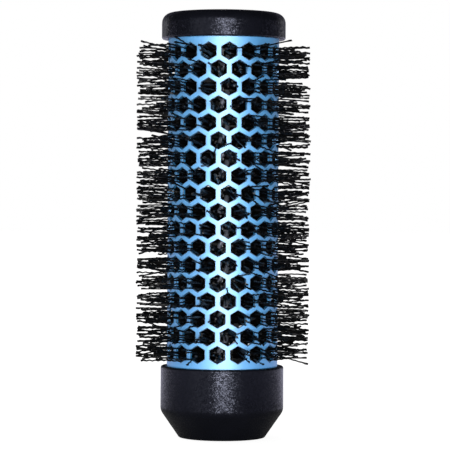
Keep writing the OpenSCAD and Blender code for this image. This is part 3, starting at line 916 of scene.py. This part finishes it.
def make_collar():
    """The moulded collar, in place of the CAD collar."""
    side_r = COLLAR_HIGH.x
    shoulder_x = side_r - SHOULDER_ROUND
    run = shoulder_x - FOOT_RADIUS
    taper = math.atan2(run, TAPER_HEIGHT) + math.asin(SHOULDER_ROUND / math.hypot(run, TAPER_HEIGHT))
    foot_flat = FOOT_RADIUS - EDGE_ROUND * math.tan((math.pi / 2 - taper) / 2)
    wall_x = TAPER_WALL / math.cos(taper)
    floor_r = FOOT_RADIUS + COLLAR_FLOOR * math.tan(taper) - wall_x
    bend_z = (BARREL_BORE - FOOT_RADIUS + wall_x) / math.tan(taper)
    boss_z = COLLAR_HIGH.z
    hub_top = boss_z - WIRE_GRIP
    socket_top = hub_top - HUB_ROOF
    key_top = socket_top - KEY_STOP
    taper = math.degrees(taper)
    hub_r = SOCKET_RADIUS + HUB_WALL
    socket = [(0.0, socket_top), (SOCKET_RADIUS, socket_top), (SOCKET_RADIUS, key_top + KEY_END)]
    socket += [(SOCKET_RADIUS, key_top), (SOCKET_RADIUS, CLICK_HEIGHT + CLICK_WIDTH / 2)]
    socket += [(SOCKET_RADIUS + CLICK_DEPTH, CLICK_HEIGHT)]
    socket += [(SOCKET_RADIUS, CLICK_HEIGHT - CLICK_WIDTH / 2), (SOCKET_RADIUS, MOUTH_CHAMFER)]
    socket += [(SOCKET_RADIUS + MOUTH_CHAMFER, 0.0)]
    outside = arc((foot_flat, EDGE_ROUND), EDGE_ROUND, -90, -taper)
    outside += arc((shoulder_x, TAPER_HEIGHT), SHOULDER_ROUND, -taper, 0)
    outside += arc((side_r - EDGE_ROUND, COLLAR_TOP - EDGE_ROUND), EDGE_ROUND, 0, 90)
    inside = [(SEAT_RADIUS + LEAD_IN, COLLAR_TOP), (SEAT_RADIUS, COLLAR_TOP - LEAD_IN)]
    inside += [(SEAT_RADIUS, BARREL_LOW.z), (BARREL_BORE, BARREL_LOW.z), (BARREL_BORE, bend_z)]
    inside += [(floor_r, COLLAR_FLOOR), (hub_r, COLLAR_FLOOR), (hub_r, hub_top), (BOSS_RADIUS, hub_top)]
    inside += [(BOSS_RADIUS, boss_z), (WIRE_BORE, boss_z), (WIRE_BORE, WIRE_LOW.z), (0.0, WIRE_LOW.z)]

    def keyed(point):
        """Within a keyway the wall of the socket lies deeper."""
        radius, height = point
        in_socket = SOCKET_RADIUS <= radius < SOCKET_RADIUS + KEY_DEPTH and height <= key_top
        return (SOCKET_RADIUS + KEY_DEPTH, height) if in_socket else point

    piece = turned("moulded_collar", socket + outside + inside, keyed, KEY_WIDTH, ABS)
    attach(piece, "root")
    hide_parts("collar")
    return piece


collar = make_collar()
print("collar:", len(collar.data.polygons), "faces")

# %% [markdown]
# ## The cap
# The cap closes the upper end. Its skirt grips the barrel outside and a ring grips it inside, and four
# ribs carry the boss that centres the wires. From outside it is a plain drum with a well-rounded top
# edge. The ribs could be blocks of their own, but as notches of the outline they grow out of the top
# and the boss without a seam.

# %% The cap
CAP_EDGE = 129.2 * MM
CAP_ROUND = 3.3 * MM
SPIGOT_WALL = 1.6 * MM
SPIGOT_LENGTH = 4.0 * MM
RIB_THICKNESS, RIB_HEIGHT = 1.4 * MM, 3.0 * MM


def make_cap():
    """The moulded cap, in place of the CAD cap."""
    side_r, top, roof, boss_z = CAP_HIGH.x, CAP_HIGH.z, BARREL_HIGH.z, CAP_LOW.z
    spigot_out = BARREL_BORE - SEAT_GAP
    spigot_in = spigot_out - SPIGOT_WALL
    spigot_z = roof - SPIGOT_LENGTH
    outline = [(SEAT_RADIUS, CAP_EDGE + LEAD_IN), (SEAT_RADIUS + LEAD_IN, CAP_EDGE)]
    outline += arc((side_r - EDGE_ROUND, CAP_EDGE + EDGE_ROUND), EDGE_ROUND, -90, 0)
    outline += arc((side_r - CAP_ROUND, top - CAP_ROUND), CAP_ROUND, 0, 90)
    outline += [(0.0, top), (0.0, roof), (WIRE_BORE, roof), (WIRE_BORE, boss_z), (BOSS_RADIUS, boss_z)]
    outline += [(BOSS_RADIUS, roof), (spigot_in, roof), (spigot_in, spigot_z), (spigot_out, spigot_z)]
    outline += [(spigot_out, roof), (SEAT_RADIUS, roof)]

    def ribbed(point):
        """Within a rib the underside of the top comes lower."""
        radius, height = point
        in_rib = BOSS_RADIUS <= radius <= spigot_in and height == roof
        return (radius, roof - RIB_HEIGHT) if in_rib else point

    piece = turned("moulded_cap", outline, ribbed, RIB_THICKNESS, ABS)
    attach(piece, "root")
    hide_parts("cap")
    return piece


cap = make_cap()
print("cap:", len(cap.data.polygons), "faces")

# %% [markdown]
# ## The camera
# The photograph was taken from in front with a long lens, a little above the middle of the barrel, and
# it leans by less than half a degree. The lens could be found by trial. Here it follows from how many
# pixels a millimetre takes at the axis, so that the camera can be moved and the roller keeps its size.

# %% Camera
PHOTO_SIZE = 450
PX_PER_MM = 3.072
CAMERA_DISTANCE = 740.0 * MM
CAMERA_HEIGHT = 78.7 * MM
AIM = Vector((0.72 * MM, 0.0, 69.0 * MM))
ROLL = 0.0055  # radians


def make_camera():
    """A long lens in front of the roller, aimed at the middle of the picture."""
    data = bpy.data.cameras.new("front_camera")
    camera = put("front_camera", data)
    camera.location = (AIM.x, -CAMERA_DISTANCE, CAMERA_HEIGHT)
    sight = AIM - camera.location
    camera.rotation_euler = sight.to_track_quat("-Z", "Y").to_euler()
    camera.rotation_euler.rotate_axis("Z", ROLL)
    data.sensor_width = 36.0
    data.lens = data.sensor_width * sight.length * PX_PER_MM / MM / PHOTO_SIZE
    data.clip_end = 20.0
    scene.camera = camera
    return camera


camera = make_camera()
print("lens mm:", round(camera.data.lens, 1))

# %% [markdown]
# ## Floor and surroundings
# The background is plain white. More lamps would whiten it, and the roller with it. So the world is
# white to the camera alone, and the floor gives part of its white itself and takes the rest from the
# lamps, which keeps the shadow. In what glossy surfaces mirror, the room is dim, because black plastic
# would turn grey in a white one. The light that reaches the roller from all round is a plain fill,
# stronger from the left and from behind.

# %% Rays and the colour of the room
def seen_rays(tree):
    """1 for rays from the camera, or passed on by metal or glass, and 0 for rays that only light."""
    path = add(tree, "ShaderNodeLightPath").outputs
    shown = add(tree, MATH, [path["Is Camera Ray"], path["Is Glossy Ray"]], "MAXIMUM")
    return add(tree, MATH, [shown, path["Is Transmission Ray"]], "MAXIMUM")


def room_colour(tree):
    """White, and a little cool in what glossy surfaces mirror."""
    mirrored = add(tree, "ShaderNodeLightPath").outputs["Is Glossy Ray"]
    mix = {0: mirrored, 6: linear("#ffffff"), 7: linear("#e2e0ff")}
    return add(tree, MIX, mix, data_type="RGBA").outputs[2]


print("rays can be told apart")

# %% Floor
FLOOR_EDGE = -250 * MM  # the front edge, out of the picture, leaves the foot of the lamp free to shine
FLOOR_REACH = 4.0
FLOOR_OWN_WHITE = 0.9  # to the camera, the rest of the white is the light on the floor
GLOW_START, GLOW_FULL = 60 * MM, 200 * MM  # painted shadow: in what a gloss mirrors, the floor's own glow fades out towards the foot between these distances from the axis


def make_floor():
    """A white floor that keeps the shadow: part of its white is its own, the rest is light on it."""
    data = bpy.data.meshes.new("floor")
    corners = [(-FLOOR_REACH, FLOOR_EDGE, 0), (FLOOR_REACH, FLOOR_EDGE, 0)]
    corners += [(FLOOR_REACH, FLOOR_REACH, 0), (-FLOOR_REACH, FLOOR_REACH, 0)]
    data.from_pydata(corners, [], [(0, 1, 2, 3)])
    floor = put("floor", data)
    material, tree, place = new_material("floor_paper")
    paper = add(tree, "ShaderNodeBsdfDiffuse", {"Color": linear("#959595")})
    away = add(tree, VECTOR_MATH, [place], "LENGTH").outputs["Value"]
    # Painted shadow: in what glossy surfaces mirror, the floor's own glow is faded out near the foot
    bright = add(tree, MAP_RANGE, {"Value": away, "From Min": GLOW_START, "From Max": GLOW_FULL})
    mirrored = add(tree, MATH, [seen_rays(tree), bright], "MULTIPLY")
    direct = add(tree, "ShaderNodeLightPath").outputs["Is Camera Ray"]
    direct = add(tree, MATH, [direct, FLOOR_OWN_WHITE], "MULTIPLY")
    glow = add(tree, MATH, [mirrored, direct], "MAXIMUM")
    own = add(tree, "ShaderNodeEmission", {"Color": room_colour(tree), "Strength": glow})
    both = add(tree, "ShaderNodeAddShader", [paper, own])
    add(tree, "ShaderNodeOutputMaterial", {"Surface": both})
    floor.data.materials.append(material)
    return floor


floor = make_floor()
print("floor from", FLOOR_EDGE, "to", FLOOR_REACH)

# %% World
# What a gloss mirrors, from the camera's side, 0, to the far side, 1
ROOM_TONES = ((0.0, 0.10), (0.2, 0.11), (0.5, 0.02), (0.75, 0.04), (1.0, 0.2))
CEILING_START, CEILING_FULL, CEILING_TONE = 0.2, 0.8, 0.15  # upwards the room grows darker still
FILL_LEFT, FILL_RIGHT, FILL_REAR = 0.55, 0.05, 0.9


def make_world():
    """White to the camera, a dim room to glossy surfaces, and a plain fill light to the rest."""
    world = bpy.data.worlds.new("white_room")
    world.use_nodes = True
    tree = world.node_tree
    tree.nodes.clear()
    towards = add(tree, SPLIT, [add(tree, "ShaderNodeTexCoord")]).outputs
    depth = add(tree, MAP_RANGE, {"Value": towards["Y"], "From Min": -1.0})
    room = add(tree, COLOUR_RAMP, {"Fac": depth})
    set_stops(room, [(position, (tone, tone, tone, 1.0)) for position, tone in ROOM_TONES])
    ceiling = {"Value": towards["Z"], "From Min": CEILING_START, "From Max": CEILING_FULL}
    ceiling = add(tree, MAP_RANGE, {**ceiling, "To Min": 1.0, "To Max": CEILING_TONE})
    room = add(tree, MATH, [room, ceiling], "MULTIPLY")
    direct = add(tree, "ShaderNodeLightPath").outputs["Is Camera Ray"]
    backdrop = add(tree, MATH, [room, direct], "MAXIMUM")
    fill = {"Value": towards["X"], "From Min": -1.0, "To Min": FILL_LEFT, "To Max": FILL_RIGHT}
    rear = add(tree, MAP_RANGE, {"Value": towards["Y"], "To Max": FILL_REAR})
    fill = add(tree, MATH, [add(tree, MAP_RANGE, fill), rear], "ADD")
    level = add(tree, MIX, {0: seen_rays(tree), 2: fill, 3: backdrop}, data_type="FLOAT")
    sky = add(tree, "ShaderNodeBackground", {"Color": room_colour(tree), "Strength": level})
    add(tree, "ShaderNodeOutputWorld", {"Surface": sky})
    scene.world = world
    return world


world = make_world()
print("world:", world.name, len(world.node_tree.nodes), "nodes")

# %% [markdown]
# ## Lamps
# A single upright highlight runs down the middle of the barrel in the photograph, so the main lamp is a
# soft box close beside the camera. A weaker box stands to the left, and two dim strips behind the
# roller shape its back. Point lamps would give hard glints. The size of an area lamp sets how broad a
# highlight is.

# %% Lamps
LAMP_AIM = Vector((0.0, 0.0, 75.0 * MM))


def soft_lamp(name, azimuth, height, distance, width, tall, power):
    """A soft box that faces the roller. Azimuth is counted from the camera's side, to the right."""
    data = bpy.data.lights.new(name, "AREA")
    data.shape = "RECTANGLE"
    data.size = width
    data.size_y = tall
    data.energy = power
    lamp = put(name, data)
    turn = math.radians(azimuth)
    lamp.location = (distance * math.sin(turn), -distance * math.cos(turn), height)
    lamp.rotation_euler = (LAMP_AIM - lamp.location).to_track_quat("-Z", "Y").to_euler()
    lamp.visible_camera = False
    return lamp


# Azimuth in degrees, height, distance, width and tallness in metres, power in watts
LAMPS = {
    "front_soft_box": (3, 0.073, 0.80, 0.26, 0.25, 6.5),
    "left_soft_box": (-42, 0.10, 0.80, 0.50, 0.40, 0.8),
    "rear_strip_left": (-142, 0.10, 0.80, 0.12, 0.50, 0.2),
    "rear_strip_right": (142, 0.10, 0.80, 0.12, 0.50, 0.15),
}
lamps = [soft_lamp(name, *setting) for name, setting in LAMPS.items()]
scene.view_settings.view_transform = "Standard"
print("lamps:", [lamp.name for lamp in lamps])
